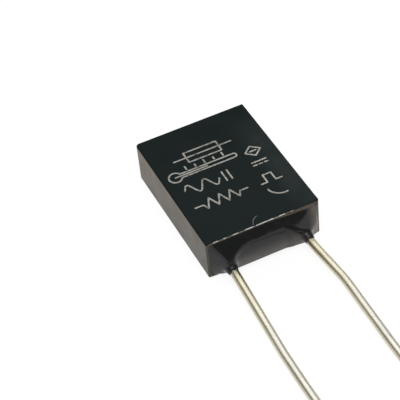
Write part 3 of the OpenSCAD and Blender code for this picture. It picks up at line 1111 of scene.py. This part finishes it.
def wire_material(leads):
    """Tinned copper: bright, yellowed at the root, with drawing lines, dull pools in the coat and painted
    shade on its flanks.
    """
    material, tree, shader = new_material("tinned_wire_coat")
    streaks = use_group(tree, "drawn_streaks", Lines_round=3.0, Lines_per_mm=0.12)
    streak, pool, flank_shade = (streaks.outputs[key] for key in ("Streak", "Pool", "Flank"))
    y = axes(tree)[1]
    near = remap(tree, y, MOUTH_Y - 11 * MM, MOUTH_Y - 1.5 * MM)
    base = mix_colour(tree, near, leads.colour, leads.root_colour)
    base = mix_colour(tree, times(tree, streak, 0.3), base, DULL_TIN_COLOUR)
    base = mix_colour(tree, times(tree, pool, 0.25), base, POOLED_TIN_COLOUR)
    # Painted shade on the wire's flanks
    base = mix_colour(tree, flank_shade, base, leads.flank_shade_colour)
    rough = times_plus(tree, streak, 0.10, 0.30)
    rough = times_plus(tree, pool, 0.08, rough)
    feed(tree, shader, Base_Color=base, Roughness=rough)
    shader.inputs["Metallic"].default_value = 1.0
    bump(tree, shader, streak, 0.03, 0.006 * MM)
    return material


def ink_material(ink):
    """Pale ink, worn through to the plastic in places."""
    material, tree, shader = new_material("worn_ink")
    wear = use_group(
        tree, "broken_wear", Dash_per_metre=3200.0, Kept=0.72, Softness=0.16).outputs["Mask"]
    grain = use_group(tree, "moulded_grain", Grain_per_metre=6500.0, Smudge_per_metre=420.0)
    kept = times(tree, wear, times_plus(tree, grain.outputs["Smudge"], -0.35, 1.0))
    feed(tree, shader, Base_Color=mix_colour(tree, kept, BARE_PLASTIC_COLOUR, ink.colour),
         Roughness=times_plus(tree, kept, 0.2, 0.42))
    bump(tree, shader, grain.outputs["Height"], 0.25, 0.01 * MM)
    return material


def alloy_material():
    """Dull grey low-melting alloy with a cast skin."""
    material, tree, shader = new_material("fusible_alloy_skin")
    grain = use_group(tree, "moulded_grain", Grain_per_metre=5000.0, Smudge_per_metre=1500.0)
    smudge = grain.outputs["Smudge"]
    feed(tree, shader, Base_Color=mix_colour(tree, smudge, *ALLOY_COLOURS),
         Roughness=times_plus(tree, smudge, 0.2, 0.4))
    shader.inputs["Metallic"].default_value = 1.0
    bump(tree, shader, grain.outputs["Height"], 0.3, 0.01 * MM)
    return material


def flux_material():
    """Amber rosin with cloudy patches."""
    material, tree, shader = new_material("rosin_body")
    grain = use_group(tree, "moulded_grain", Grain_per_metre=3000.0, Smudge_per_metre=600.0)
    smudge = grain.outputs["Smudge"]
    feed(tree, shader, Base_Color=mix_colour(tree, smudge, *ROSIN_COLOURS),
         Roughness=times_plus(tree, smudge, 0.15, 0.15))
    bump(tree, shader, grain.outputs["Height"], 0.15, 0.01 * MM)
    return material


def floor_material(stage):
    """White sweep: mostly an even white for the eye and for reflections, the rest lit for the shadow."""
    material, tree, shader = new_material("white_sweep")
    shader.inputs["Roughness"].default_value = 0.9
    shader.inputs["Specular IOR Level"].default_value = 0.1
    place = add_node(tree, "ShaderNodeTexCoord").outputs["Object"]
    feed(tree, shader, Base_Color=mix_colour(tree, noise_value(tree, place, 40.0, 2.0), *FLOOR_COLOURS))
    glow = add_node(tree, "ShaderNodeEmission", {"Color": (1, 1, 1, 1), "Strength": 1.05})
    rays = add_node(tree, "ShaderNodeLightPath").outputs
    seen = math_node(tree, "ADD", rays["Is Camera Ray"], rays["Is Glossy Ray"])
    seen = math_node(tree, "ADD", seen, rays["Is Transmission Ray"], clamp=True)
    blend = add_node(tree, "ShaderNodeMixShader")
    for k, socket in enumerate((times(tree, seen, stage.floor_glow), shader.outputs[0], glow.outputs[0])):
        tree.links.new(socket, blend.inputs[k])
    tree.links.new(blend.outputs[0], tree.nodes["Material Output"].inputs["Surface"])
    return material


# Operators


class FUSE_OT_build_case(Operator):
    """Builds the moulded case over its solid"""

    bl_idname = "fuse_part.build_case"
    bl_label = "Case"

    def execute(self, context):
        case = context.scene.fuse_case
        verts, faces = skin(case_loops(case))
        piece = add_piece("case_shell", verts, faces, case_material(case), 50)
        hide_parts("case")
        verts, faces = ink_stroke(SCRATCH, SCRATCH_WIDTH, SCRATCH_THICKNESS, case, 4.4)
        add_piece("case_scratch", verts, faces, scuff_material(), 40)
        return {"FINISHED"}


class FUSE_OT_build_resin(Operator):
    """Builds the resin that closes the mouth and climbs the leads"""

    bl_idname = "fuse_part.build_resin"
    bl_label = "Sealing resin"

    def execute(self, context):
        scene = context.scene
        verts, faces = resin_piece(scene.fuse_resin, scene.fuse_leads, scene.fuse_case)
        material = resin_material(scene.fuse_resin)
        piece = add_piece("resin_seal", verts, faces, material, 75)
        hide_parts("sealing_resin")
        return {"FINISHED"}


class FUSE_OT_build_leads(Operator):
    """Builds the two tinned leads along the routes of their solids"""

    bl_idname = "fuse_part.build_leads"
    bl_label = "Leads"

    def execute(self, context):
        scene = context.scene
        material = wire_material(scene.fuse_leads)
        for side, node in ((-1, "lead_left"), (1, "lead_right")):
            verts, faces, place = wire_piece(side, scene.fuse_leads)
            piece = add_piece(node + "_wire", verts, faces, material, 40, place)
            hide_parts(node)
        return {"FINISHED"}


class FUSE_OT_build_print(Operator):
    """Prints the plain marks on the broad face"""

    bl_idname = "fuse_part.build_print"
    bl_label = "Printed marks"

    def execute(self, context):
        scene = context.scene
        ink, case = scene.fuse_print, scene.fuse_case
        material = ink_material(ink)
        for name, lines in printed_marks().items():
            verts, faces = [], []
            for k, line in enumerate(lines):
                add_faces(verts, faces, *ink_stroke(line, ink.stroke, ink.thickness, case, 1.7 * k))
            add_piece(name, verts, faces, material, 40)
        return {"FINISHED"}


class FUSE_OT_finish_inside(Operator):
    """Gives the alloy link and the flux inside the cup their materials"""

    bl_idname = "fuse_part.finish_inside"
    bl_label = "Link and flux"

    def execute(self, context):
        for node, material in (("fusible_link", alloy_material()), ("flux", flux_material())):
            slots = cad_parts[node].data.materials
            slots.clear()
            slots.append(material)
        return {"FINISHED"}


# Lamps: name, place, size and watts; camera: azimuth, elevation and roll in degrees
LAMPS = (
    ("top_lamp", (-0.05, -0.09, 0.42), (0.30, 0.30), 1.15),
    ("back_lamp", (0.05, 0.30, 0.30), (0.52, 0.30), 0.58))
LAMP_AIM = Vector((0, -3 * MM, 2 * MM))
CAMERA_ANGLES = (-21.294, 44.593, -6.488)
CAMERA_DISTANCE, CAMERA_ASIDE, CAMERA_ABOVE = 133.670 * MM, 2.3326 * MM, 1.0923 * MM
CAMERA_TARGET = Vector((0, 0, 2 * MM))


class FUSE_OT_build_stage(Operator):
    """Sets up the floor, the room, the lamps and the camera"""

    bl_idname = "fuse_part.build_stage"
    bl_label = "Stage"

    def execute(self, context):
        scene = context.scene
        stage = scene.fuse_stage
        scene.view_settings.view_transform = "Standard"
        half = stage.floor_size / 2
        mesh = bpy.data.meshes.new("floor")
        corners = [(-half, -half, 0), (half, -half, 0), (half, half, 0), (-half, half, 0)]
        mesh.from_pydata(corners, [], [(0, 1, 2, 3)])
        mesh.materials.append(floor_material(stage))
        floor = bpy.data.objects.new("floor", mesh)
        scene.collection.objects.link(floor)

        world = bpy.data.worlds.new("dim_room")
        world.use_nodes = True
        scene.world = world
        tree = world.node_tree
        back = tree.nodes["Background"]
        back.inputs["Strength"].default_value = 1.0
        rays = add_node(tree, "ShaderNodeLightPath")
        shade = mix_colour(tree, rays.outputs["Is Camera Ray"], (stage.room,) * 3, (1.0, 1.0, 1.0))
        tree.links.new(shade, back.inputs["Color"])

        for name, place, size, watts in LAMPS:
            data = bpy.data.lights.new(name, "AREA")
            data.shape = "RECTANGLE"
            data.size, data.size_y = size
            data.energy = watts
            lamp = bpy.data.objects.new(name, data)
            lamp.location = place
            lamp.rotation_euler = (LAMP_AIM - Vector(place)).to_track_quat("-Z", "Y").to_euler()
            scene.collection.objects.link(lamp)

        camera_data = bpy.data.cameras.new("camera")
        camera_data.sensor_width = 36.0
        camera_data.lens = stage.lens
        camera_data.clip_start = 0.001
        camera = bpy.data.objects.new("camera", camera_data)
        camera.matrix_world = camera_matrix()
        scene.collection.objects.link(camera)
        scene.camera = camera
        return {"FINISHED"}


def camera_matrix():
    """Place of the camera, from the angles and the distance that fit the case's edges."""
    azimuth, elevation, roll = (math.radians(a) for a in CAMERA_ANGLES)
    flat = math.cos(elevation)
    back = Vector((math.sin(azimuth) * flat, -math.cos(azimuth) * flat, math.sin(elevation)))
    level = Vector((math.cos(azimuth), math.sin(azimuth), 0))
    upward = back.cross(level)
    right = level * math.cos(roll) + upward * math.sin(roll)
    up = upward * math.cos(roll) - level * math.sin(roll)
    matrix = Matrix((right, up, back)).transposed().to_4x4()
    matrix.translation = CAMERA_TARGET + back * CAMERA_DISTANCE - right * CAMERA_ASIDE - up * CAMERA_ABOVE
    return matrix


OPERATORS = (
    FUSE_OT_build_case, FUSE_OT_build_resin, FUSE_OT_build_leads, FUSE_OT_build_print,
    FUSE_OT_finish_inside, FUSE_OT_build_stage)


class FUSE_PT_panel(Panel):
    """Lists the fuse's pieces"""

    bl_idname = "FUSE_PT_panel"
    bl_label = "Thermal Fuse"
    bl_space_type = "VIEW_3D"
    bl_region_type = "UI"
    bl_category = "Fuse"

    def draw(self, context):
        for operator in OPERATORS:
            self.layout.operator(operator.bl_idname)
        for name, group in SETTINGS.items():
            box = self.layout.box()
            for key in group.__annotations__:
                box.prop(getattr(context.scene, name), key)


def register():
    """Registers the settings, the operators and the panel."""
    for group in SETTINGS.values():
        bpy.utils.register_class(group)
    for name, group in SETTINGS.items():
        setattr(bpy.types.Scene, name, PointerProperty(type=group))
    for operator in OPERATORS:
        bpy.utils.register_class(operator)
    bpy.utils.register_class(FUSE_PT_panel)


def unregister():
    """Takes back what register did."""
    bpy.utils.unregister_class(FUSE_PT_panel)
    for operator in reversed(OPERATORS):
        bpy.utils.unregister_class(operator)
    for name, group in SETTINGS.items():
        delattr(bpy.types.Scene, name)
        bpy.utils.unregister_class(group)


def main():
    """Builds the fuse and its stage."""
    register()
    bpy.ops.fuse_part.build_case()
    bpy.ops.fuse_part.build_resin()
    bpy.ops.fuse_part.build_leads()
    bpy.ops.fuse_part.build_print()
    bpy.ops.fuse_part.finish_inside()
    bpy.ops.fuse_part.build_stage()


if __name__ == "__main__":
    main()
